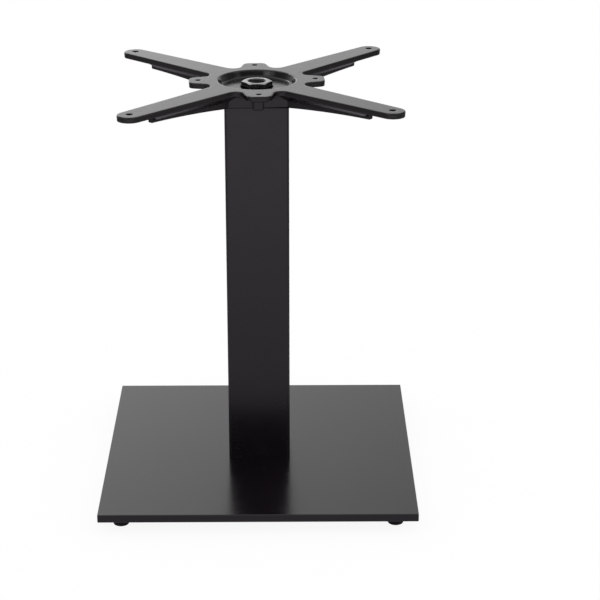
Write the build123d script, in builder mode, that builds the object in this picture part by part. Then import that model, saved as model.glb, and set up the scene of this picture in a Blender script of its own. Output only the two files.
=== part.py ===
from build123d import *
import os
from math import asin, cos, radians, sin, sqrt, tan

# Square pedestal base for a coffee table: a flat steel plate on four levelling glides, a square
# column, a cast spider that carries the table top, and the tie rod that clamps them together.
# Millimetres. The origin is on the floor under the plate's middle, +Z is up and -Y is the front.

# Overall sizes
TOTAL_HEIGHT = 502.0  # floor to the spider's top face
PLATE_SIDE = 380.0
PLATE_THICKNESS = 10.0
PLATE_EDGE_BREAK = 0.6
FOOT_HEIGHT = 14.0  # floor to the plate's underside, glides screwed home

# Column, a square steel tube
COLUMN_SIDE = 76.0
COLUMN_WALL = 2.5
COLUMN_CORNER_RADIUS = 3.5

# Spider, one iron casting
SPIDER_TURN = 2.8  # degrees that it sits turned on the column
HUB_HEIGHT = 25.0  # column's top to the spider's top face
SPIDER_THICKNESS = 6.5
SPIDER_DRAFT = 4.0  # arms and ears narrow downwards
SPIDER_EDGE_RADIUS = 1.3  # upper edges, the lower ones are left sharp at the mould's joint
ARM_COUNT = 4
ARM_START_ANGLE = 45.0
ARM_HOLE_CIRCLE = 414.0
ARM_HOLE_DIAMETER = 8.0
ARM_TIP_RADIUS = 14.5
ARM_ROOT_WIDTH = 39.0  # width at the spider's centre, from which the arm tapers
EAR_REACH = 80.5  # spider's centre to an ear's outer edge
EAR_HOLE_EDGE = 11.1  # ear's outer edge to its hole's centre
EAR_HOLE_DIAMETER = 6.5
EAR_TIP_WIDTH = 26.0
EAR_FLANK_ANGLE = 14.0
EAR_CORNER_RADIUS = 8.5
NOTCH_RADIUS = 9.5  # round bottom between an ear and an arm

# Ribs under the arms and webs under the ears, drafted as cast
RIB_THICKNESS = 6.0
RIB_DRAFT = 2.0
RIB_END = 176.0  # spider's centre to the rib's outer end
RIB_END_DEPTH = 16.3  # spider's top face to the rib's lower edge, at its outer end
RIB_BOW = 1.3  # rise of the lower edge over its chord
RIB_EDGE_RADIUS = 1.2
RIB_ROOT = 2.5  # sloped root where a rib grows out of its arm
ROOT_SLOPE = 45.0
WEB_WIDTH = 13.5
WEB_END = 48.0  # spider's centre to the web's outer end
WEB_EDGE_RADIUS = 2.0

# Dish in the middle of the spider, with a seat sunk in its floor for the washer and the nut's foot
DISH_RIM_RADIUS = 46.5
DISH_RIM_ROUND = 1.6
DISH_WALL_ANGLE = 28.0  # slope of the wall, from the vertical
DISH_DEPTH = 8.0
DISH_FLOOR_RADIUS = 3.0  # round between the wall and the floor
BOWL_WALL = 4.0  # metal round the dish, under the arms
SEAT_DEPTH = 5.5  # below the dish's floor
SEAT_PLAY = 1.0  # round the washer

# Spigot under the hub, loose in the tube
SPIGOT_PLAY = 1.0
SPIGOT_WALL = 6.5
SPIGOT_DEPTH = 12.0

# Tie rod with its nut and washer
ROD_DIAMETER = 20.0
ROD_END_CHAMFER = 1.5
ROD_HOLE_PLAY = 0.5
ROD_RECESS = 5.0  # rod's upper end below the nut's top face
ROD_FOOT_GAP = 1.0  # rod's lower end above the plate
THREAD_CLEARANCE = 0.05
NUT_ACROSS_FLATS = 32.0
NUT_HEIGHT = 9.0
NUT_TURN = 3.0
NUT_FACE_SHARE = 0.95  # flat face's diameter as a share of the width across flats
NUT_CHAMFER_ANGLE = 15.0
NUT_MOUTH_CHAMFER = 1.2
WASHER_DIAMETER = 37.0
WASHER_THICKNESS = 3.0

# Locator block inside the column's foot, with its countersunk screws
LOCATOR_PLAY = 0.4
LOCATOR_HEIGHT = 18.0
LOCATOR_CORNER_RADIUS = 4.0
LOCATOR_CHAMFER = 1.5
SCREW_SPACING = 44.0
SCREW_DIAMETER = 8.0
SCREW_HEAD_DIAMETER = 16.0
SCREW_HEAD_ANGLE = 90.0
SCREW_HEAD_SINK = 0.3  # head's face above the plate's underside
SCREW_LENGTH = 20.0
SCREW_SOCKET = 5.0
SCREW_SOCKET_DEPTH = 2.8

# Levelling glides
GLIDE_INSET = 26.0  # plate's edge to a glide's axis
GLIDE_CLEARANCE = 0.05
PAD_DIAMETER = 19.0
PAD_ROUND = 1.5  # lower edge
PAD_RIM_RADIUS = 0.8
STUD_DIAMETER = 8.0
STUD_LENGTH = 8.0  # thread above the collar
STUD_END_CHAMFER = 1.0
STUD_HOLE_SPARE = 0.7  # hole deeper than the screwed-home stud
STUD_COLLAR_FLATS = 13.0
STUD_COLLAR_HEIGHT = 2.4
STUD_NECK_DIAMETER = 7.0
STUD_HEAD_DIAMETER = 12.0
STUD_HEAD_HEIGHT = 3.0
PAD_FLOOR = 3.0  # pad's thickness under the stud's head

# Heights and sizes that follow
plate_top = FOOT_HEIGHT + PLATE_THICKNESS
column_top = TOTAL_HEIGHT - HUB_HEIGHT
seat_floor = TOTAL_HEIGHT - DISH_DEPTH - SEAT_DEPTH
nut_foot = seat_floor + WASHER_THICKNESS
nut_top = nut_foot + NUT_HEIGHT
column_bore = COLUMN_SIDE - 2 * COLUMN_WALL
column_bore_corner = max(COLUMN_CORNER_RADIUS - COLUMN_WALL, 0.5)
thread_radius = ROD_DIAMETER / 2 + THREAD_CLEARANCE
screw_bore_radius = SCREW_DIAMETER / 2 + THREAD_CLEARANCE
glide_offset = PLATE_SIDE / 2 - GLIDE_INSET

turn = radians(SPIDER_TURN)
spider_plane = Plane(origin=(0, 0, TOTAL_HEIGHT), x_dir=(cos(turn), sin(turn), 0), z_dir=(0, 0, 1))
side_plane = Plane(origin=(0, 0, 0), x_dir=(1, 0, 0), z_dir=(0, -1, 0))  # local y is height

os.makedirs("parts", exist_ok=True)


def save(part, name):
    """Labels a finished piece and writes its STEP file."""
    part.label = name
    export_step(part, f"parts/{name}.step")


# Base plate: square, with blind tapped holes for the glides and countersunk ones for the locator
under_plate = Plane(origin=(0, 0, FOOT_HEIGHT), x_dir=(1, 0, 0), z_dir=(0, 0, -1))
with BuildPart() as base_plate:
    with BuildSketch(Plane.XY.offset(FOOT_HEIGHT)):
        Rectangle(PLATE_SIDE, PLATE_SIDE)
    extrude(amount=PLATE_THICKNESS)
    chamfer(base_plate.edges(), PLATE_EDGE_BREAK)
    with BuildSketch(Plane.XY.offset(FOOT_HEIGHT)):
        with GridLocations(2 * glide_offset, 2 * glide_offset, 2, 2):
            Circle(STUD_DIAMETER / 2 + GLIDE_CLEARANCE)
    extrude(amount=STUD_LENGTH + STUD_HOLE_SPARE, mode=Mode.SUBTRACT)
    with Locations(under_plate):
        with GridLocations(SCREW_SPACING, SCREW_SPACING, 2, 2):
            CounterSinkHole(
                screw_bore_radius,
                SCREW_HEAD_DIAMETER / 2 + THREAD_CLEARANCE + SCREW_HEAD_SINK,
                PLATE_THICKNESS,
                SCREW_HEAD_ANGLE,
            )
save(base_plate.part, "base_plate")

# Column: square tube with rounded corners, from the plate to the spider's hub
with BuildPart() as column:
    with BuildSketch(Plane.XY.offset(plate_top)):
        RectangleRounded(COLUMN_SIDE, COLUMN_SIDE, COLUMN_CORNER_RADIUS)
        RectangleRounded(column_bore, column_bore, column_bore_corner, mode=Mode.SUBTRACT)
    extrude(amount=column_top - plate_top)
save(column.part, "column")

# Rib under one arm, along local +X with z 0 at the spider's top face: a drafted bar with a bowed lower edge
rib_root = COLUMN_SIDE / 2 * sqrt(2)
rib_start = rib_root - COLUMN_SIDE / 4  # buried in the hub
with BuildPart() as arm_rib:
    with BuildSketch(Plane.XY.offset(-SPIDER_THICKNESS)):
        with Locations(((rib_start + RIB_END) / 2, 0)):
            Rectangle(RIB_END - rib_start, RIB_THICKNESS)
    extrude(amount=SPIDER_THICKNESS - HUB_HEIGHT, taper=RIB_DRAFT)
    with BuildSketch(Plane.XY.offset(-SPIDER_THICKNESS)):
        with Locations(((rib_start + RIB_END) / 2, 0)):
            Rectangle(RIB_END - rib_start + 2 * RIB_ROOT, RIB_THICKNESS + 2 * RIB_ROOT)
    extrude(amount=-RIB_ROOT, taper=ROOT_SLOPE)
    with BuildSketch(side_plane):
        with BuildLine():
            bow = SagittaArc((rib_root, -HUB_HEIGHT), (RIB_END, -RIB_END_DEPTH), RIB_BOW)
            Polyline(bow @ 1, (RIB_END + RIB_THICKNESS, -RIB_END_DEPTH),
                     (RIB_END + RIB_THICKNESS, -HUB_HEIGHT), bow @ 0)
        make_face()
    extrude(amount=RIB_THICKNESS, both=True, mode=Mode.SUBTRACT)
    fillet(arm_rib.faces().filter_by(GeomType.CYLINDER).edges().filter_by(GeomType.LINE, reverse=True),
           RIB_EDGE_RADIUS)

# Web under one ear, along local +X: a drafted block with rounded outer edges
web_start = COLUMN_SIDE / 4  # buried in the hub
with BuildPart() as ear_web:
    with BuildSketch(Plane.XY.offset(-SPIDER_THICKNESS)):
        with Locations(((web_start + WEB_END) / 2, 0)):
            Rectangle(WEB_END - web_start, WEB_WIDTH)
    extrude(amount=SPIDER_THICKNESS - HUB_HEIGHT, taper=RIB_DRAFT)
    end_edges = ear_web.faces().sort_by(Axis.X)[-1].edges().sort_by(Axis.Y)
    fillet([end_edges[0], end_edges[-1]], WEB_EDGE_RADIUS)

# Outline of one arm, along local +X: two straight flanks that run tangent into a round tip
arm_reach = ARM_HOLE_CIRCLE / 2
arm_taper = asin((ARM_ROOT_WIDTH / 2 - ARM_TIP_RADIUS) / arm_reach)
with BuildSketch() as arm_outline:
    with BuildLine():
        root_edge = (0, ARM_ROOT_WIDTH / 2)
        flank_end = (arm_reach + ARM_TIP_RADIUS * sin(arm_taper), ARM_TIP_RADIUS * cos(arm_taper))
        Line(root_edge, flank_end)
        ThreePointArc(flank_end, (arm_reach + ARM_TIP_RADIUS, 0), (flank_end[0], -flank_end[1]))
        Polyline((flank_end[0], -flank_end[1]), (0, -ARM_ROOT_WIDTH / 2), root_edge)
    make_face()

# Spider: arms and ears in one plate, a square hub, ribs, webs, the dish in its bowl, a spigot and the holes
ear_root_half = EAR_TIP_WIDTH / 2 + EAR_REACH * tan(radians(EAR_FLANK_ANGLE))
dish_wall_run = tan(radians(DISH_WALL_ANGLE))
floor_edge = DISH_RIM_RADIUS - DISH_DEPTH * dish_wall_run
seat_radius = WASHER_DIAMETER / 2 + SEAT_PLAY
bowl_depth = DISH_DEPTH + BOWL_WALL
bowl_top = DISH_RIM_RADIUS - SPIDER_THICKNESS * dish_wall_run + BOWL_WALL
bowl_foot = bowl_top - (bowl_depth - SPIDER_THICKNESS) * dish_wall_run
spigot_radius = column_bore / 2 - SPIGOT_PLAY
dish_plane = Plane(origin=(0, 0, TOTAL_HEIGHT), x_dir=(1, 0, 0), z_dir=(0, -1, 0))
with BuildPart(spider_plane) as top_spider:
    with BuildSketch(spider_plane) as outline:
        with PolarLocations(0, ARM_COUNT, ARM_START_ANGLE):
            add(arm_outline.sketch)
        with PolarLocations(0, ARM_COUNT):
            Polygon((0, -ear_root_half), (EAR_REACH, -EAR_TIP_WIDTH / 2), (EAR_REACH, EAR_TIP_WIDTH / 2),
                    (0, ear_root_half), align=None)
        corners = outline.vertices().sort_by(lambda corner: corner.center().length)
        fillet(corners[:2 * ARM_COUNT], NOTCH_RADIUS)
        ear_corners = outline.vertices().sort_by(
            lambda corner: abs(corner.center().length - Vector(EAR_REACH, EAR_TIP_WIDTH / 2).length))
        fillet(ear_corners[:2 * ARM_COUNT], EAR_CORNER_RADIUS)
    extrude(amount=-SPIDER_THICKNESS, taper=SPIDER_DRAFT)
    fillet(top_spider.faces().sort_by(Axis.Z)[-1].edges(), SPIDER_EDGE_RADIUS)
    with BuildSketch(spider_plane.offset(-HUB_HEIGHT)):
        RectangleRounded(COLUMN_SIDE, COLUMN_SIDE, COLUMN_CORNER_RADIUS)
    extrude(amount=HUB_HEIGHT - SPIDER_THICKNESS)
    with BuildSketch(dish_plane):
        Polygon((0, -SPIDER_THICKNESS), (bowl_top, -SPIDER_THICKNESS), (bowl_foot, -bowl_depth),
                (0, -bowl_depth), align=None)
    revolve(axis=Axis.Z)
    with PolarLocations(0, ARM_COUNT, ARM_START_ANGLE):
        add(arm_rib.part)
    with PolarLocations(0, ARM_COUNT):
        add(ear_web.part)
    with BuildSketch(spider_plane.offset(-HUB_HEIGHT)):
        Circle(spigot_radius)
        Circle(spigot_radius - SPIGOT_WALL, mode=Mode.SUBTRACT)
    extrude(amount=-SPIGOT_DEPTH)
    with BuildSketch(dish_plane) as dish:
        with BuildLine():
            Polyline((0, 0), (DISH_RIM_RADIUS, 0), (floor_edge, -DISH_DEPTH), (seat_radius, -DISH_DEPTH),
                     (seat_radius, -DISH_DEPTH - SEAT_DEPTH), (0, -DISH_DEPTH - SEAT_DEPTH), close=True)
        make_face()
        fillet(dish.vertices().sort_by_distance((floor_edge, -DISH_DEPTH))[:1], DISH_FLOOR_RADIUS)
    revolve(axis=Axis.Z, mode=Mode.SUBTRACT)
    fillet(top_spider.edges().filter_by(lambda edge: edge.is_closed).group_by(Axis.Z)[-1], DISH_RIM_ROUND)
    with PolarLocations(ARM_HOLE_CIRCLE / 2, ARM_COUNT, ARM_START_ANGLE):
        Hole(ARM_HOLE_DIAMETER / 2)
    with PolarLocations(EAR_REACH - EAR_HOLE_EDGE, ARM_COUNT):
        Hole(EAR_HOLE_DIAMETER / 2)
    Hole(ROD_DIAMETER / 2 + ROD_HOLE_PLAY)
save(top_spider.part, "top_spider")

# Tie rod: from just above the plate to below the nut's top face
rod_foot = plate_top + ROD_FOOT_GAP
with BuildPart() as tie_rod:
    with BuildSketch(Plane.XY.offset(rod_foot)):
        Circle(ROD_DIAMETER / 2)
    extrude(amount=nut_top - ROD_RECESS - rod_foot)
    chamfer(tie_rod.edges().filter_by(GeomType.CIRCLE), ROD_END_CHAMFER)
save(tie_rod.part, "tie_rod")

# Washer in the seat
with BuildPart() as top_washer:
    with BuildSketch(Plane.XY.offset(seat_floor)):
        Circle(WASHER_DIAMETER / 2)
        Circle(ROD_DIAMETER / 2 + ROD_HOLE_PLAY, mode=Mode.SUBTRACT)
    extrude(amount=WASHER_THICKNESS)
save(top_washer.part, "top_washer")

# Nut: hexagon with its corners turned off at both faces and a chamfered mouth
nut_corner = NUT_ACROSS_FLATS / 2 / cos(radians(30))
nut_face = NUT_ACROSS_FLATS / 2 * NUT_FACE_SHARE
corner_drop = (nut_corner - nut_face) * tan(radians(NUT_CHAMFER_ANGLE))
with BuildPart() as top_nut:
    with BuildSketch(Plane.XY.offset(nut_foot)):
        RegularPolygon(NUT_ACROSS_FLATS / 2, 6, major_radius=False, rotation=NUT_TURN)
        Circle(thread_radius, mode=Mode.SUBTRACT)
    extrude(amount=NUT_HEIGHT)
    chamfer(top_nut.edges().filter_by(GeomType.CIRCLE), NUT_MOUTH_CHAMFER)
    with BuildSketch(side_plane):
        Polygon((0, nut_foot), (nut_face, nut_foot), (nut_corner, nut_foot + corner_drop),
                (nut_corner, nut_top - corner_drop), (nut_face, nut_top), (0, nut_top), align=None)
    revolve(axis=Axis.Z, mode=Mode.INTERSECT)
save(top_nut.part, "top_nut")

# Locator block: fills the tube's foot, tapped for the rod and for the screws
locator_side = column_bore - 2 * LOCATOR_PLAY
with BuildPart() as column_locator:
    with BuildSketch(Plane.XY.offset(plate_top)):
        RectangleRounded(locator_side, locator_side, LOCATOR_CORNER_RADIUS)
    extrude(amount=LOCATOR_HEIGHT)
    chamfer(column_locator.faces().sort_by(Axis.Z)[-1].edges(), LOCATOR_CHAMFER)
    with BuildSketch(Plane.XY.offset(plate_top)):
        Circle(thread_radius)
        with GridLocations(SCREW_SPACING, SCREW_SPACING, 2, 2):
            Circle(screw_bore_radius)
    extrude(amount=LOCATOR_HEIGHT, mode=Mode.SUBTRACT)
save(column_locator.part, "column_locator")

# Screws: countersunk, with hexagon sockets, set into the plate's underside
screw_foot = FOOT_HEIGHT + SCREW_HEAD_SINK
head_height = (SCREW_HEAD_DIAMETER - SCREW_DIAMETER) / 2 / tan(radians(SCREW_HEAD_ANGLE / 2))
with BuildPart() as screw:
    with BuildSketch(side_plane):
        Polygon((0, screw_foot), (SCREW_HEAD_DIAMETER / 2, screw_foot),
                (SCREW_DIAMETER / 2, screw_foot + head_height),
                (SCREW_DIAMETER / 2, screw_foot + SCREW_LENGTH), (0, screw_foot + SCREW_LENGTH), align=None)
    revolve(axis=Axis.Z)
    with BuildSketch(Plane.XY.offset(screw_foot)):
        RegularPolygon(SCREW_SOCKET / 2, 6, major_radius=False)
    extrude(amount=SCREW_SOCKET_DEPTH, mode=Mode.SUBTRACT)
with BuildPart() as locator_screws:
    with GridLocations(SCREW_SPACING, SCREW_SPACING, 2, 2):
        add(screw.part)
save(locator_screws.part, "locator_screws")

# Glides: each a plastic pad snapped over the head of a screw that turns in it
head_foot = PAD_FLOOR + GLIDE_CLEARANCE
head_top = head_foot + STUD_HEAD_HEIGHT
collar_top = FOOT_HEIGHT - GLIDE_CLEARANCE
collar_foot = collar_top - STUD_COLLAR_HEIGHT
pad_top = collar_foot - GLIDE_CLEARANCE
pad_radius = PAD_DIAMETER / 2


def make_glide_pad(x, y):
    """Turned pad at x, y: a rounded lower edge and a pocket with a lip that holds the stud's head."""
    neck = STUD_NECK_DIAMETER / 2 + GLIDE_CLEARANCE
    pocket = STUD_HEAD_DIAMETER / 2 + GLIDE_CLEARANCE
    with BuildPart() as pad:
        with BuildSketch(Plane(origin=(x, y, 0), x_dir=(1, 0, 0), z_dir=(0, -1, 0))) as profile:
            with BuildLine():
                Polyline((0, 0), (pad_radius, 0), (pad_radius, pad_top), (neck, pad_top),
                         (neck, head_top + GLIDE_CLEARANCE), (pocket, head_top + GLIDE_CLEARANCE),
                         (pocket, PAD_FLOOR), (0, PAD_FLOOR), close=True)
            make_face()
            outer = profile.vertices().group_by(Axis.X)[-1].sort_by(Axis.Y)
            fillet(outer[0], PAD_ROUND)
            fillet(profile.vertices().group_by(Axis.Y)[-1].sort_by(Axis.X)[-1], PAD_RIM_RADIUS)
        revolve(axis=Axis((x, y, 0), (0, 0, 1)))
    return pad.part


def make_glide_stud(x, y):
    """Stud at x, y: a disc head inside the pad, a neck, a hexagon collar and the thread's cylinder."""
    with BuildPart() as stud:
        with BuildSketch(Plane((x, y, head_foot))):
            Circle(STUD_HEAD_DIAMETER / 2)
        extrude(amount=STUD_HEAD_HEIGHT)
        with BuildSketch(Plane((x, y, head_top))):
            Circle(STUD_NECK_DIAMETER / 2)
        extrude(amount=collar_foot - head_top)
        with BuildSketch(Plane((x, y, collar_foot))):
            RegularPolygon(STUD_COLLAR_FLATS / 2, 6, major_radius=False)
        extrude(amount=STUD_COLLAR_HEIGHT)
        with BuildSketch(Plane((x, y, collar_top))):
            Circle(STUD_DIAMETER / 2)
        extrude(amount=STUD_LENGTH)
        chamfer(stud.faces().sort_by(Axis.Z)[-1].edges(), STUD_END_CHAMFER)
    return stud.part


for depth_name, y_sign in (("front", -1), ("back", 1)):
    for side_name, x_sign in (("left", -1), ("right", 1)):
        corner = (x_sign * glide_offset, y_sign * glide_offset)
        save(make_glide_pad(*corner), f"glide_pad_{depth_name}_{side_name}")
        save(make_glide_stud(*corner), f"glide_stud_{depth_name}_{side_name}")
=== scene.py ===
from math import cos, pi, radians, sin, tan

import bpy
import numpy as np
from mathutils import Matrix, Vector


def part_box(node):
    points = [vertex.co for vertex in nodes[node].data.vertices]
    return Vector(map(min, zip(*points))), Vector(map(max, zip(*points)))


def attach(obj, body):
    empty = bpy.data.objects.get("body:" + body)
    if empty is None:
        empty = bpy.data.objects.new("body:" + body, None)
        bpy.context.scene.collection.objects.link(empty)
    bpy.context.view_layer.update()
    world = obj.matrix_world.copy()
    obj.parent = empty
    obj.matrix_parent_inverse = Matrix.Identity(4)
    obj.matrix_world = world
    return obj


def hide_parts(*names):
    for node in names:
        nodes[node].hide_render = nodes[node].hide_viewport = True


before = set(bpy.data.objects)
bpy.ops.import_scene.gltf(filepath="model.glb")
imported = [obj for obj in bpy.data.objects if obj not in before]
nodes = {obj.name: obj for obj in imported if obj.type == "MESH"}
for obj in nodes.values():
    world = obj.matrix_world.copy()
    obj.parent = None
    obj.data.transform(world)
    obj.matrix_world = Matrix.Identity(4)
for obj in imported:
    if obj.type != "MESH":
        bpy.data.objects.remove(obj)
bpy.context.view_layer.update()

# Looks of a square pedestal base for a coffee table, in metres

scene = bpy.context.scene

# The photograph's view, its lens and sensor in millimetres
CAMERA_PLACE = (0.0321, -2.1772, 1.0645)
CAMERA_PITCH = radians(68.847)
CAMERA_YAW = radians(-0.5)
CAMERA_LENS = 113.29
CAMERA_SENSOR = 36.0

# Floor, as the eye sees it and as the object's gloss shows it
WHITE = (1.0, 1.0, 1.0, 1.0)
FLOOR_HALF = 12.0
FLOOR_DROP = 0.0002
FLOOR_COLOUR = (0.8, 0.8, 0.8, 1.0)
FLOOR_SHADE = 0.09  # share of the floor's white that the object's shadow can take away
FLOOR_GLOSS_SHADE = 0.60  # the same share in what the gloss shows
# painted violet tint of the floor, in what the gloss shows only
FLOOR_GLOSS_TINT = (1.16, 1.0, 1.25, 1.0)
# Painted shade and light on the floor, seen only in what the gloss shows: dim round the object,
# dimmer to the sides and back, and bright again far back
FLOOR_POOL = (0.25, 2.0)  # distances from the middle between which it goes from dim to pale
FLOOR_POOL_SQUEEZE = (0.60, 1.0, 1.0)  # less than 1 carries the dim pool further out
FLOOR_DIM = 0.48
FLOOR_PALE = 0.90
FLOOR_SIDES = (0.40, 1.30)  # distances to the left and right between which it gets dimmer
FLOOR_SIDE_SHARE = 0.50
FLOOR_BACK = (0.20, 0.60)  # distances to the back between which it gets dimmer
FLOOR_BACK_SHARE = 0.42
FLOOR_FAR_BACK = (0.95, 1.60)  # distances to the back between which it gets pale again
FLOOR_FAR_BACK_SHARE = 2.4

# Cards round the room: tones by azimuth and shares of them by elevation, in degrees
CARD_DISTANCE = 5.0
CARD_COLUMNS = 49
CARD_ROWS = 25
SIDE_SHARES = ((0.0, 0.8), (12.0, 1.0), (16.0, 1.6), (24.0, 1.6), (28.0, 1.0), (46.0, 1.0),
               (54.0, 3.5))
CARDS = {
    "front_low": (((-60.0, 0.22), (92.0, 0.22)), ((0.0, 0.8), (12.0, 1.0))),
    "front_mid": (((-14.0, 0.16), (14.0, 0.16)), ((14.0, 1.0), (30.0, 1.0))),
    "front_card": (((-24.0, 0.10), (62.0, 0.10)), ((30.5, 1.0), (50.0, 1.0))),
    "front_right_card": (((62.5, 0.12), (92.0, 0.12)), ((22.0, 1.0), (38.0, 1.0))),
    "front_lamp": (((-45.0, 2.4), (-25.0, 2.4)), ((34.0, 1.0), (46.0, 1.0))),
    "right_card": (((93.0, 0.22), (140.0, 0.25)), SIDE_SHARES),
    "back_card": (((141.0, 0.90), (168.0, 0.86), (190.0, 1.45), (199.5, 1.50)),
                  ((0.0, 1.27), (16.0, 1.06), (22.0, 0.95), (26.0, 0.84), (60.0, 0.80))),
    "back_left_card": (((200.0, 1.50), (211.0, 1.60), (222.5, 0.60)),
                       ((0.0, 1.27), (16.0, 1.06), (22.0, 0.95), (30.5, 0.90))),
    "back_lamp": (((204.0, 5.5), (219.0, 5.5)), ((31.0, 1.0), (37.0, 1.0))),
    "left_card": (((223.0, 0.55), (260.0, 0.22), (299.0, 0.22)), SIDE_SHARES),
}

# Shading of new pieces
SHARP_EDGE = radians(28)  # faces that turn by less than this are shaded as one

# Threads: their depth, crest and root are shares of the pitch
THREAD_DEPTH = 0.541
THREAD_CREST = 1 / 8
THREAD_ROOT = 1 / 4
THREAD_PLAY = 0.00005
THREAD_ROWS = 24  # to one pitch of the rod and the nut

# Tie rod and its nut
ROD_PITCH = 0.0025
ROD_THREADED = 0.045  # length of thread at each end
ROD_END_CHAMFER = 0.0015
ROD_COLUMNS = 48
NUT_ACROSS_FLATS = 0.032
NUT_FACE_SHARE = 0.95
NUT_CHAMFER = radians(15)
NUT_MOUTH_CHAMFER = 0.0012
NUT_TURN = radians(3)
NUT_COLUMNS = 96
NUT_CHAMFER_ROWS = 9

# Levelling studs
STUD_PITCH = 0.00125
STUD_RADIUS = 0.004
STUD_THREADED = 0.008
STUD_END_CHAMFER = 0.001
STUD_COLLAR_FLATS = 0.013
STUD_COLLAR_HEIGHT = 0.0024
STUD_NECK = 0.0035
STUD_HEAD = 0.006
STUD_HEAD_HEIGHT = 0.003
STUD_COLUMNS = 36
STUD_THREAD_ROWS = 12  # to one pitch

# Casting: its arms, and the sloped roots between an arm and its rib
SPIDER_TURN = 2.8  # degrees that the casting is turned on the column
SPIDER_THICKNESS = 0.0065
ARM_TURN = radians(45 + SPIDER_TURN)
ARM_REACH = 0.207
ARM_ROOT_HALF = 0.0195
ARM_TIP_HALF = 0.0145
ROOT_START = 0.0446
ROOT_STRAIGHT = 0.075
ROOT_END = 0.1775
ROOT_RUN_OUT = 0.012
ROOT_DEPTH = (0.0112, 0.0084)  # at its start and its end
ROOT_BEND = 1.15
ROOT_INSET = 0.0007
ROOT_INNER = 0.0022
ROOT_BURIED = 0.0004
ROOT_ROWS = 64
ROOT_COLUMNS = 12

# Finishes: tones are dark and light, scales are features to the metre, depths are metres of bump
NOISE_MIDDLE = (0.3, 0.7)  # most of a noise's values lie between these

# Powder coat of the plate and the column
COAT_TONES = ((0.0034, 0.0021, 0.0034), (0.0052, 0.0032, 0.0052))
COAT_TONE_SCALE = 14.0
COAT_GLOSS_SCALE = 45.0
COAT_GLOSS_DRIFT = 0.03
COAT_PEEL_SCALE = 340.0
COAT_PEEL_DEPTH = 0.000030
COAT_GRAIN_SCALE = 1500.0
COAT_GRAIN_DEPTH = 0.000006
COAT_IOR = 1.5

# Coated casting
CAST_TONES = ((0.0045, 0.0038, 0.0036), (0.0075, 0.0062, 0.0060))
CAST_TONE_SCALE = 22.0
CAST_GLOSS_SCALE = 70.0
CAST_ROUGH = (0.15, 0.21)
CAST_SOFTNESS = 0.0025  # reach of the soft edges of the cast skin
CAST_SOFT_SAMPLES = 8
CAST_HOLLOW_SCALE = 210.0
CAST_HOLLOW_DEPTH = 0.00006
CAST_GRAIN_SCALE = 900.0
CAST_GRAIN_DEPTH = 0.000018
CAST_PIT_SCALE = 95.0
CAST_PIT_REACH = 0.10  # of a cell with one pit
CAST_PIT_DEPTH = 0.00025
CAST_IOR = 1.42

# Bare steel and zinc
STEEL_TONE_SCALE = 160.0
STEEL_GLOSS_SCALE = 420.0
STEEL_GLOSS_DRIFT = 0.06
STEEL_MARK_SCALE = 1500.0
STEEL_MARK_DEPTH = 0.000004
STEEL_EVEN = (1.0, 1.0, 1.0)
STEEL_DRAWN = (1.0, 0.06, 1.0)  # draws the tool marks out from front to back

# Painted shade on the nut: dark in its bore, and a painted dark reflection on its upright flats
BORE_SHADE_BLACK = (0.05, 0.05, 0.05, 1.0)
BORE_SHADE_REACH = (0.0108, 0.0113)  # radii between which painted shade in the bore gives way to bare zinc
BORE_SHADE_AXES = (1.0, 1.0, 0.0)  # leaves the height out of the distance, which is then the radius
FLAT_REFLECTION_BLACK = (0.20, 0.20, 0.20, 1.0)
FLAT_REFLECTION_TILTS = (0.3, 0.7)  # rise of a face's normal between which the painted dark reflection gives way to bare zinc

# Moulded plastic of the glides
PLASTIC_TONES = ((0.004, 0.004, 0.004), (0.008, 0.008, 0.008))
PLASTIC_TONE_SCALE = 90.0
PLASTIC_GLOSS_SCALE = 300.0
PLASTIC_ROUGH = (0.52, 0.64)
PLASTIC_GRAIN_SCALE = 1800.0
PLASTIC_GRAIN_DEPTH = 0.000008
PLASTIC_IOR = 1.5
PLASTIC_SPECULAR = 0.25

# Places of the colour sockets of a Mix node
MIX_FIRST = 6
MIX_SECOND = 7
MIX_RESULT = 2


# Mesh helpers


def mesh_object(name, points, faces):
    """An object at the origin from points (n, 3) and faces, shaded smooth except at sharp edges."""
    mesh = bpy.data.meshes.new(name)
    mesh.from_pydata(points.tolist(), [], faces)
    mesh.polygons.foreach_set("use_smooth", np.ones(len(mesh.polygons), bool))
    mesh.set_sharp_from_angle(angle=SHARP_EDGE)
    mesh.update()
    piece = bpy.data.objects.new(name, mesh)
    scene.collection.objects.link(piece)
    return piece


def ring_faces(rows, columns, wrap_rows=False):
    """Quads between rows of points round an axis, each row closed on itself."""
    row_count = rows if wrap_rows else rows - 1
    row, column = np.meshgrid(np.arange(row_count), np.arange(columns), indexing="ij")
    next_row = (row + 1) % rows
    next_column = (column + 1) % columns
    quads = np.stack([row * columns + column, row * columns + next_column,
                      next_row * columns + next_column, next_row * columns + column], axis=-1)
    return quads.reshape(-1, 4).tolist()


def capped_faces(rows, columns):
    """Faces of a closed sweep: quads between its rows, and a fan at each end to one of the two
    points that come after the rows."""
    first_end = rows * columns
    last = (rows - 1) * columns
    faces = ring_faces(rows, columns)
    faces += [[(i + 1) % columns, i, first_end] for i in range(columns)]
    faces += [[last + i, last + (i + 1) % columns, first_end + 1] for i in range(columns)]
    return faces


def angles(columns, start=0.0):
    """Evenly spaced angles of one turn, as a row."""
    return start + np.linspace(0, 2 * pi, columns, endpoint=False)[None, :]


def levels_of(heights, columns):
    """One height for each row, spread over the columns."""
    return np.repeat(np.asarray(heights)[:, None], columns, axis=1)


def turned(radius, height, angle, centre):
    """Points at radius and height (rows, columns) round a vertical axis through the centre."""
    x = centre[0] + radius * np.cos(angle)
    y = centre[1] + radius * np.sin(angle)
    return np.stack([x, y, height], axis=-1).reshape(-1, 3)


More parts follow.
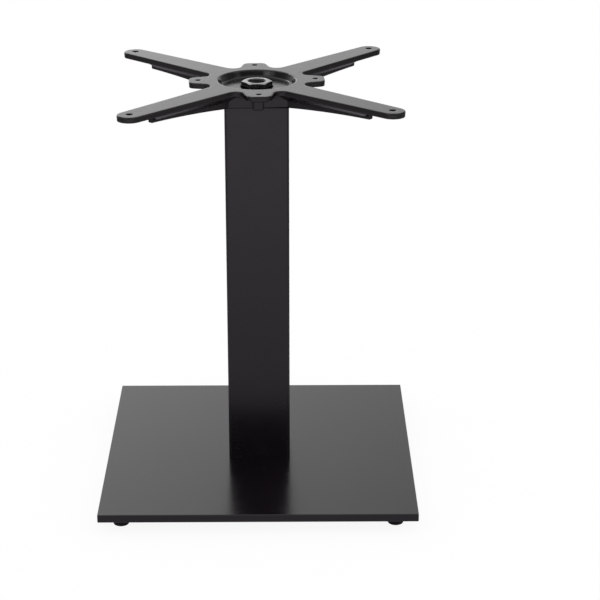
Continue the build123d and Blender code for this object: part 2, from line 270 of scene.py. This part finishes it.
def closed_bar(name, radius, height, angle, centre):
    """A turned bar, rows from its foot to its top, closed by a fan at each end."""
    ends = [[*centre, float(height[0, 0])], [*centre, float(height[-1, 0])]]
    points = np.vstack([turned(radius, height, angle, centre), ends])
    return mesh_object(name, points, capped_faces(*radius.shape))


def thread_radius(angle, height, outer, pitch):
    """Radius of a right-hand 60 degree thread at an angle and height: with the phase
    z / pitch - angle / turn, a crest at the outer radius, straight flanks and a root, the crest and
    the root as wide as their shares of the pitch."""
    phase = (height / pitch - angle / (2 * pi)) % 1.0
    from_crest = np.minimum(phase, 1.0 - phase)
    crest_end = THREAD_CREST / 2
    root_start = 0.5 - THREAD_ROOT / 2
    fall = np.clip((from_crest - crest_end) / (root_start - crest_end), 0.0, 1.0)
    return outer - THREAD_DEPTH * pitch * fall


def hexagon_radius(angle, across_flats, turn):
    """Radius of a hexagon at an angle: half the width across flats over the cosine of the angle to
    the nearest flat's middle."""
    to_flat = (angle - turn) % (pi / 3) - pi / 6
    return across_flats / 2 / np.cos(to_flat)


# Threaded pieces


def threaded_rod():
    """Tie rod: a plain shank with a thread at each end. The thread's radius is the lesser of the
    thread and the end's chamfer cone, and over its last pitch it runs out into the shank."""
    low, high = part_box("tie_rod")
    outer = (high.x - low.x) / 2
    angle = angles(ROD_COLUMNS)
    step = ROD_PITCH / THREAD_ROWS
    lower = np.arange(low.z, low.z + ROD_THREADED, step)
    upper = np.arange(high.z - ROD_THREADED, high.z, step)
    height = levels_of(np.concatenate([lower, upper, [high.z]]), ROD_COLUMNS)
    from_end = np.minimum(height - low.z, high.z - height)
    radius = np.minimum(thread_radius(angle, height, outer, ROD_PITCH),
                        outer - ROD_END_CHAMFER + from_end)
    shank = outer - THREAD_DEPTH * ROD_PITCH / 2
    run_out = np.clip((from_end - ROD_THREADED + ROD_PITCH) / ROD_PITCH, 0.0, 1.0)
    radius = radius * (1 - run_out) + shank * run_out
    rod = closed_bar("threaded_rod", radius, height, angle, (0.0, 0.0))
    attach(rod, "base")
    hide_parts("tie_rod")
    return rod


def threaded_nut():
    """Nut: a closed ring of rows, up the outside as the lesser of hexagon and chamfer cone, then
    down the bore as the greater of thread and mouth cone."""
    low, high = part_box("top_nut")
    rod_low, rod_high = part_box("tie_rod")
    angle = angles(NUT_COLUMNS, NUT_TURN)
    face = NUT_ACROSS_FLATS / 2 * NUT_FACE_SHARE
    drop = (NUT_ACROSS_FLATS / 2 / cos(pi / 6) - face) * tan(NUT_CHAMFER)
    edge = np.linspace(0, drop, NUT_CHAMFER_ROWS)
    height_out = levels_of(np.concatenate([low.z + edge, (high.z - edge)[::-1]]), NUT_COLUMNS)
    from_face = np.minimum(height_out - low.z, high.z - height_out)
    cone = face + from_face / tan(NUT_CHAMFER)
    radius_out = np.minimum(hexagon_radius(angle, NUT_ACROSS_FLATS, NUT_TURN), cone)

    inside = np.append(np.arange(high.z, low.z, -ROD_PITCH / THREAD_ROWS), low.z)
    height_in = levels_of(inside, NUT_COLUMNS)
    bore = (rod_high.x - rod_low.x) / 2 + THREAD_PLAY
    mouth = bore + NUT_MOUTH_CHAMFER - np.minimum(height_in - low.z, high.z - height_in)
    radius_in = np.maximum(thread_radius(angle, height_in, bore, ROD_PITCH), mouth)

    radius = np.vstack([radius_out, radius_in])
    height = np.vstack([height_out, height_in])
    points = turned(radius, height, angle, (0.0, 0.0))
    nut = mesh_object("threaded_nut", points, ring_faces(*radius.shape, wrap_rows=True))
    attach(nut, "base")
    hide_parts("top_nut")
    return nut


def threaded_stud(tag):
    """Levelling screw: rows up a disc head, a neck, a hexagon collar and a thread under its end
    chamfer cone."""
    low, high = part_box(f"glide_stud_{tag}")
    centre = ((low.x + high.x) / 2, (low.y + high.y) / 2)
    angle = angles(STUD_COLUMNS)
    collar_top = high.z - STUD_THREADED
    collar_foot = collar_top - STUD_COLLAR_HEIGHT
    head_top = low.z + STUD_HEAD_HEIGHT
    plain_heights = [low.z, head_top, head_top, collar_foot]
    plain_radii = [STUD_HEAD, STUD_HEAD, STUD_NECK, STUD_NECK]
    collar = hexagon_radius(angle, STUD_COLLAR_FLATS, 0.0)
    threaded = np.append(np.arange(collar_top, high.z, STUD_PITCH / STUD_THREAD_ROWS), high.z)
    height_thread = levels_of(threaded, STUD_COLUMNS)
    radius_thread = np.minimum(thread_radius(angle, height_thread, STUD_RADIUS, STUD_PITCH),
                               STUD_RADIUS - STUD_END_CHAMFER + high.z - height_thread)
    height = np.vstack([levels_of(plain_heights + [collar_foot, collar_top], STUD_COLUMNS),
                        height_thread])
    radius = np.vstack([levels_of(plain_radii, STUD_COLUMNS), collar, collar, radius_thread])
    stud = closed_bar(f"threaded_stud_{tag}", radius, height, angle, centre)
    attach(stud, f"stud_{tag}")
    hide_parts(f"glide_stud_{tag}")
    return stud


# Casting


def arm_roots():
    """Sloped roots under the arms, one on each side of a rib. Across an arm the root falls from the
    arm's edge to the rib by depth * s ** bend, s being the share of the way in, and closes inside
    the casting. Along the arm it starts on a circle inside the bowl's wall and runs out as a
    quarter ellipse."""
    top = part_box("top_spider")[1].z
    reach = np.linspace(ROOT_START, ROOT_END, ROOT_ROWS)[:, None]
    share = np.append(np.linspace(0, 1, ROOT_COLUMNS), 1.0)[None, :]
    edge = ARM_ROOT_HALF - (ARM_ROOT_HALF - ARM_TIP_HALF) * reach / ARM_REACH - ROOT_INSET
    across = ROOT_INNER + (edge - ROOT_INNER) * (1 - share)
    fade = np.clip((reach - ROOT_END + ROOT_RUN_OUT) / ROOT_RUN_OUT, 0, 1)
    depth = np.interp(reach, (ROOT_START, ROOT_END), ROOT_DEPTH) * np.sqrt(1 - fade ** 2)
    fall = depth * share ** ROOT_BEND
    fall[:, -1] = 0.0
    bent = np.clip((ROOT_STRAIGHT - reach) / (ROOT_STRAIGHT - ROOT_START), 0, 1)
    along = reach * (1 - bent) + np.sqrt(ROOT_START ** 2 - across ** 2) * bent
    height = top - SPIDER_THICKNESS + ROOT_BURIED - fall

    shells, faces = [], []
    one_root = capped_faces(*height.shape)
    for quarter in range(4):
        turn = ARM_TURN + quarter * pi / 2
        for side in (-1, 1):
            shell = np.stack([along * cos(turn) - side * across * sin(turn),
                              along * sin(turn) + side * across * cos(turn), height], axis=-1)
            first = sum(len(points) for points in shells)
            shells.append(np.vstack([shell.reshape(-1, 3), shell[[0, -1]].mean(axis=1)]))
            faces += [[first + corner for corner in face[::-side]] for face in one_root]
    roots = mesh_object("arm_roots", np.vstack(shells), faces)
    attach(roots, "base")
    return roots


# Material helpers


def blank_material(name):
    """A node material that holds only its output: returns the material, its tree and the output's
    surface socket."""
    material = bpy.data.materials.new(name)
    material.use_nodes = True
    tree = material.node_tree
    tree.nodes.clear()
    output = tree.nodes.new("ShaderNodeOutputMaterial")
    return material, tree, output.inputs["Surface"]


def finish_material(name):
    """A node material with a Principled shader: returns the material, its tree and the shader."""
    material, tree, surface = blank_material(name)
    shader = tree.nodes.new("ShaderNodeBsdfPrincipled")
    tree.links.new(shader.outputs["BSDF"], surface)
    return material, tree, shader


def shader_node(tree, kind, feeds, **settings):
    """A shader node of a kind with its settings, and with its sockets, by name or place, fed by
    outputs or plain values."""
    made = tree.nodes.new(f"ShaderNode{kind}")
    for setting, value in settings.items():
        setattr(made, setting, value)
    for socket, value in feeds.items():
        if isinstance(value, bpy.types.NodeSocket):
            tree.links.new(value, made.inputs[socket])
        else:
            made.inputs[socket].default_value = value
    return made


def place_of(tree, stretch=(1.0, 1.0, 1.0)):
    """Object coordinates, each axis times its stretch."""
    coordinates = tree.nodes.new("ShaderNodeTexCoord")
    feeds = {"Vector": coordinates.outputs["Object"], "Scale": stretch}
    return shader_node(tree, "Mapping", feeds).outputs["Vector"]


def length_of(tree, place):
    """Distance of a place from the origin."""
    return shader_node(tree, "VectorMath", {0: place}, operation="LENGTH").outputs["Value"]


def axes_of(tree, vector):
    """The X, Y and Z of a vector."""
    return shader_node(tree, "SeparateXYZ", {0: vector}).outputs


def maths(tree, operation, *terms):
    """A Math node's result for outputs or plain numbers."""
    return shader_node(tree, "Math", dict(enumerate(terms)), operation=operation).outputs[0]


def slope(tree, value, reach, low=0.0, high=1.0, curve="SMOOTHSTEP"):
    """A value's run from low to high over a reach, level before and after it."""
    feeds = {"Value": value, "From Min": reach[0], "From Max": reach[1],
             "To Min": low, "To Max": high}
    return shader_node(tree, "MapRange", feeds, interpolation_type=curve).outputs["Result"]


def mixed_colour(tree, share, first, second):
    """A colour that goes from the first to the second as a share goes from 0 to 1."""
    feeds = {"Factor": share, MIX_FIRST: first, MIX_SECOND: second}
    return shader_node(tree, "Mix", feeds, data_type="RGBA").outputs[MIX_RESULT]


def noise(tree, place, scale, detail=2.0, roughness=0.5):
    """A noise texture's value at a place, with so many features to the metre."""
    feeds = {"Vector": place, "Scale": scale, "Detail": detail, "Roughness": roughness}
    return shader_node(tree, "TexNoise", feeds).outputs["Fac"]


def pits(tree, place, scale, reach):
    """Sparse round pits, one to a Voronoi cell: 0 in a pit's middle, 1 past its reach in cells."""
    cells = shader_node(tree, "TexVoronoi", {"Vector": place, "Scale": scale})
    return slope(tree, cells.outputs["Distance"], (0.0, reach))


def tint(tree, value, dark, light):
    """A colour that goes from dark to light over the middle of a noise's values."""
    ramp = shader_node(tree, "ValToRGB", {"Fac": value})
    for stop, position, colour in zip(ramp.color_ramp.elements, NOISE_MIDDLE, (dark, light)):
        stop.position = position
        stop.color = (*colour, 1.0)
    return ramp.outputs["Color"]


def drift_gloss(tree, shader, value, low, high):
    """Roughness that drifts from low to high over the middle of a noise's values."""
    rough = slope(tree, value, NOISE_MIDDLE, low, high, curve="LINEAR")
    tree.links.new(rough, shader.inputs["Roughness"])


def bump(tree, shader, value, depth, before=None):
    """A bump of a depth in metres on the shader, on top of the normal before it where one is
    given."""
    bumped = shader_node(tree, "Bump", {"Strength": 1.0, "Distance": depth, "Height": value})
    if before is not None:
        tree.links.new(before, bumped.inputs["Normal"])
    tree.links.new(bumped.outputs["Normal"], shader.inputs["Normal"])
    return bumped.outputs["Normal"]


# Finishes


def powder_coat(name, rough):
    """Black powder coat: orange peel about 3 mm wide, a fine grain, and slow drifts of tone and
    gloss."""
    material, tree, shader = finish_material(name)
    place = place_of(tree)
    colour = tint(tree, noise(tree, place, COAT_TONE_SCALE, detail=3.0), *COAT_TONES)
    tree.links.new(colour, shader.inputs["Base Color"])
    drift_gloss(tree, shader, noise(tree, place, COAT_GLOSS_SCALE, detail=4.0, roughness=0.6),
                rough - COAT_GLOSS_DRIFT, rough + COAT_GLOSS_DRIFT)
    peel = bump(tree, shader, noise(tree, place, COAT_PEEL_SCALE, detail=1.0), COAT_PEEL_DEPTH)
    bump(tree, shader, noise(tree, place, COAT_GRAIN_SCALE), COAT_GRAIN_DEPTH, peel)
    shader.inputs["IOR"].default_value = COAT_IOR
    return material


def cast_coat(name):
    """Coated casting: a sand-cast skin under a satin black coat, with soft edges, soft hollows, a
    grain and stray pits."""
    material, tree, shader = finish_material(name)
    place = place_of(tree)
    colour = tint(tree, noise(tree, place, CAST_TONE_SCALE, detail=3.0), *CAST_TONES)
    tree.links.new(colour, shader.inputs["Base Color"])
    drift_gloss(tree, shader, noise(tree, place, CAST_GLOSS_SCALE, detail=4.0, roughness=0.6),
                *CAST_ROUGH)
    soft = shader_node(tree, "Bevel", {"Radius": CAST_SOFTNESS}, samples=CAST_SOFT_SAMPLES)
    hollows = bump(tree, shader, noise(tree, place, CAST_HOLLOW_SCALE), CAST_HOLLOW_DEPTH,
                   soft.outputs["Normal"])
    grain = bump(tree, shader, noise(tree, place, CAST_GRAIN_SCALE), CAST_GRAIN_DEPTH, hollows)
    bump(tree, shader, pits(tree, place, CAST_PIT_SCALE, CAST_PIT_REACH), CAST_PIT_DEPTH, grain)
    shader.inputs["IOR"].default_value = CAST_IOR
    return material


def with_painted_shade(tree, bare):
    """The colour of the nut with painted shade: dark in its bore round its axis, a painted dark
    reflection on its upright flats, and bare elsewhere."""
    normal = tree.nodes.new("ShaderNodeNewGeometry").outputs["True Normal"]
    # painted dark reflection on the upright flats, chosen by the tilt of the face
    level = slope(tree, maths(tree, "ABSOLUTE", axes_of(tree, normal)["Z"]), FLAT_REFLECTION_TILTS)
    # painted shade in the bore: dark inside the given radius
    outside = slope(tree, length_of(tree, place_of(tree, BORE_SHADE_AXES)), BORE_SHADE_REACH, curve="LINEAR")
    return mixed_colour(tree, outside, BORE_SHADE_BLACK, mixed_colour(tree, level, FLAT_REFLECTION_BLACK, bare))


def steel(name, dark, light, rough, grain=STEEL_EVEN, painted_shade=False):
    """Bare metal: drifts of tone and gloss and fine tool marks, all stretched by the grain. With
    painted shade, the metal gets a painted dark bore and painted dark reflections on its upright
    flats."""
    material, tree, shader = finish_material(name)
    place = place_of(tree, grain)
    drift = noise(tree, place, STEEL_TONE_SCALE, detail=4.0, roughness=0.6)
    colour = tint(tree, drift, dark, light)
    tree.links.new(with_painted_shade(tree, colour) if painted_shade else colour, shader.inputs["Base Color"])
    drift_gloss(tree, shader, noise(tree, place, STEEL_GLOSS_SCALE, detail=3.0, roughness=0.6),
                rough - STEEL_GLOSS_DRIFT, rough + STEEL_GLOSS_DRIFT)
    bump(tree, shader, noise(tree, place, STEEL_MARK_SCALE), STEEL_MARK_DEPTH)
    shader.inputs["Metallic"].default_value = 1.0
    return material


def moulded_plastic(name):
    """Moulded black nylon: fine even grain, dull."""
    material, tree, shader = finish_material(name)
    place = place_of(tree)
    colour = tint(tree, noise(tree, place, PLASTIC_TONE_SCALE, detail=3.0), *PLASTIC_TONES)
    tree.links.new(colour, shader.inputs["Base Color"])
    drift_gloss(tree, shader, noise(tree, place, PLASTIC_GLOSS_SCALE, detail=3.0), *PLASTIC_ROUGH)
    bump(tree, shader, noise(tree, place, PLASTIC_GRAIN_SCALE), PLASTIC_GRAIN_DEPTH)
    shader.inputs["IOR"].default_value = PLASTIC_IOR
    shader.inputs["Specular IOR Level"].default_value = PLASTIC_SPECULAR
    return material


def dress(piece, material):
    """Gives a piece or a CAD node one material and its slot's name."""
    piece.data.materials.clear()
    piece.data.materials.append(material)


# Pieces with their finishes

plate_coat = powder_coat("plate_coat", rough=0.21)
column_coat = powder_coat("column_coat", rough=0.26)
spider_coat = cast_coat("spider_coat")
zinc = steel("zinc", dark=(0.40, 0.40, 0.40), light=(0.54, 0.54, 0.54), rough=0.24)
# the nut gets painted shade in its bore and a painted dark reflection on its flats
nut_zinc = steel("nut_zinc", dark=(0.15, 0.15, 0.15), light=(0.42, 0.42, 0.42), rough=0.28,
                 painted_shade=True)
rod_steel = steel("rod_steel", dark=(0.14, 0.14, 0.14), light=(0.24, 0.24, 0.24), rough=0.42)
inner_steel = steel("inner_steel", dark=(0.22, 0.22, 0.22), light=(0.32, 0.32, 0.32), rough=0.38,
                    grain=STEEL_DRAWN)
screw_black = steel("screw_black", dark=(0.030, 0.030, 0.032), light=(0.055, 0.055, 0.058),
                    rough=0.40)
glide_plastic = moulded_plastic("glide_plastic")

dress(nodes["base_plate"], plate_coat)
dress(nodes["column"], column_coat)
dress(nodes["top_spider"], spider_coat)
dress(arm_roots(), spider_coat)
dress(nodes["top_washer"], zinc)
dress(nodes["column_locator"], inner_steel)
dress(nodes["locator_screws"], screw_black)
dress(threaded_rod(), rod_steel)
dress(threaded_nut(), nut_zinc)
for corner_tag in ("front_left", "front_right", "back_left", "back_right"):
    dress(nodes[f"glide_pad_{corner_tag}"], glide_plastic)
    dress(threaded_stud(corner_tag), zinc)


# Studio: a white room, cards that only the gloss sees, and a white floor with a soft shadow, with
# painted shade and light on it where the gloss shows it


def white_world():
    """A world of even white light."""
    world = bpy.data.worlds.new("white_room")
    world.use_nodes = True
    background = world.node_tree.nodes["Background"]
    background.inputs["Color"].default_value = WHITE
    background.inputs["Strength"].default_value = 1.0
    scene.world = world


def painted_floor_shade(tree):
    """Painted shade and light on the floor, as only the gloss shows it: dim near the object and
    pale further out, times a share that falls to the left and right, one that falls to the back and
    one that rises again further back."""
    axes = axes_of(tree, tree.nodes.new("ShaderNodeTexCoord").outputs["Object"])
    sideways = maths(tree, "ABSOLUTE", axes["X"])
    backwards = axes["Y"]
    outwards = length_of(tree, place_of(tree, FLOOR_POOL_SQUEEZE))
    tone = slope(tree, outwards, FLOOR_POOL, FLOOR_DIM, FLOOR_PALE)
    for distance, reach, share in ((sideways, FLOOR_SIDES, FLOOR_SIDE_SHARE),
                                   (backwards, FLOOR_BACK, FLOOR_BACK_SHARE),
                                   (backwards, FLOOR_FAR_BACK, FLOOR_FAR_BACK_SHARE)):
        tone = maths(tree, "MULTIPLY", tone, slope(tree, distance, reach, 1.0, share))
    return tone


def by_ray(tree, gloss, for_eye, for_gloss):
    """A number for most rays, and an output for glossy ones."""
    feeds = {"Factor": gloss, "A": for_eye, "B": for_gloss}
    return shader_node(tree, "Mix", feeds).outputs["Result"]


def white_floor():
    """A pale floor. Camera and transmission rays see it white, less the object's shadow. Glossy
    rays see it with painted shade near the object and to the sides and back, painted light far
    back, a painted violet tint, and a larger share of the object's real shadow. From below it is
    open."""
    material, tree, surface = blank_material("floor")
    rays = tree.nodes.new("ShaderNodeLightPath").outputs
    gloss = rays["Is Glossy Ray"]
    # painted shade and light on the floor, for glossy rays only
    pool = painted_floor_shade(tree)
    pool_lit = maths(tree, "MULTIPLY", pool, 1.0 - FLOOR_GLOSS_SHADE)
    pool_shaded = maths(tree, "MULTIPLY", pool, FLOOR_GLOSS_SHADE)
    lit = by_ray(tree, gloss, 1.0 - FLOOR_SHADE, pool_lit)
    shaded = by_ray(tree, gloss, FLOOR_SHADE, pool_shaded)
    # painted violet tint on the floor, for glossy rays only
    hue = mixed_colour(tree, gloss, WHITE, FLOOR_GLOSS_TINT)
    glow = shader_node(tree, "Emission", {"Color": hue, "Strength": lit})
    shade = shader_node(tree, "BsdfDiffuse", {"Color": shaded})
    seen = shader_node(tree, "AddShader", {0: glow.outputs[0], 1: shade.outputs[0]})

    sight = rays["Is Camera Ray"]
    for ray in ("Is Glossy Ray", "Is Transmission Ray"):
        sight = maths(tree, "MAXIMUM", sight, rays[ray])
    pale = shader_node(tree, "BsdfDiffuse", {"Color": FLOOR_COLOUR})
    above = shader_node(tree, "MixShader", {"Fac": sight, 1: pale.outputs[0], 2: seen.outputs[0]})
    below = tree.nodes.new("ShaderNodeNewGeometry").outputs["Backfacing"]
    clear = tree.nodes.new("ShaderNodeBsdfTransparent")
    whole = shader_node(tree, "MixShader", {"Fac": below, 1: above.outputs[0], 2: clear.outputs[0]})
    tree.links.new(whole.outputs[0], surface)

    corners = np.array([[-1, -1, 0], [1, -1, 0], [1, 1, 0], [-1, 1, 0]]) * FLOOR_HALF
    corners[:, 2] = -FLOOR_DROP
    floor = mesh_object("floor", corners, [[0, 1, 2, 3]])
    floor.data.materials.append(material)


def card(name, across, up):
    """A card that only reflections see: a patch of a sphere round the object. Across gives its tone
    at some azimuths, from the front towards the right, and up a share of it at some elevations.
    Between them both run straight."""
    azimuth, elevation = np.meshgrid(np.linspace(across[0][0], across[-1][0], CARD_COLUMNS),
                                     np.linspace(up[0][0], up[-1][0], CARD_ROWS))
    side, rise = np.radians(azimuth), np.radians(elevation)
    points = CARD_DISTANCE * np.stack([np.cos(rise) * np.sin(side), -np.cos(rise) * np.cos(side),
                                       np.sin(rise)], axis=-1)
    tone = np.interp(azimuth, *np.transpose(across)) * np.interp(elevation, *np.transpose(up))
    row, column = np.meshgrid(np.arange(CARD_ROWS - 1), np.arange(CARD_COLUMNS - 1), indexing="ij")
    corner = (row * CARD_COLUMNS + column).ravel()
    above = corner + CARD_COLUMNS
    faces = np.stack([corner, above, above + 1, corner + 1], axis=-1)
    sheet = mesh_object(name, points.reshape(-1, 3), faces.tolist())
    sheet.data.attributes.new("tone", "FLOAT", "POINT").data.foreach_set("value", tone.ravel())

    material, tree, surface = blank_material(name)
    read = shader_node(tree, "Attribute", {}, attribute_name="tone")
    glow = shader_node(tree, "Emission", {"Strength": read.outputs["Fac"]})
    tree.links.new(glow.outputs[0], surface)
    sheet.data.materials.append(material)
    sheet.visible_camera = False
    sheet.visible_diffuse = False
    sheet.visible_transmission = False
    sheet.visible_shadow = False


white_world()
white_floor()
for card_name, (tones, shares) in CARDS.items():
    card(card_name, tones, shares)
scene.view_settings.view_transform = "Standard"

# Camera

camera_data = bpy.data.cameras.new("photo_view")
camera_data.lens = CAMERA_LENS
camera_data.sensor_width = CAMERA_SENSOR
camera = bpy.data.objects.new("photo_view", camera_data)
camera.location = CAMERA_PLACE
camera.rotation_euler = (CAMERA_PITCH, 0.0, CAMERA_YAW)
scene.collection.objects.link(camera)
scene.camera = camera
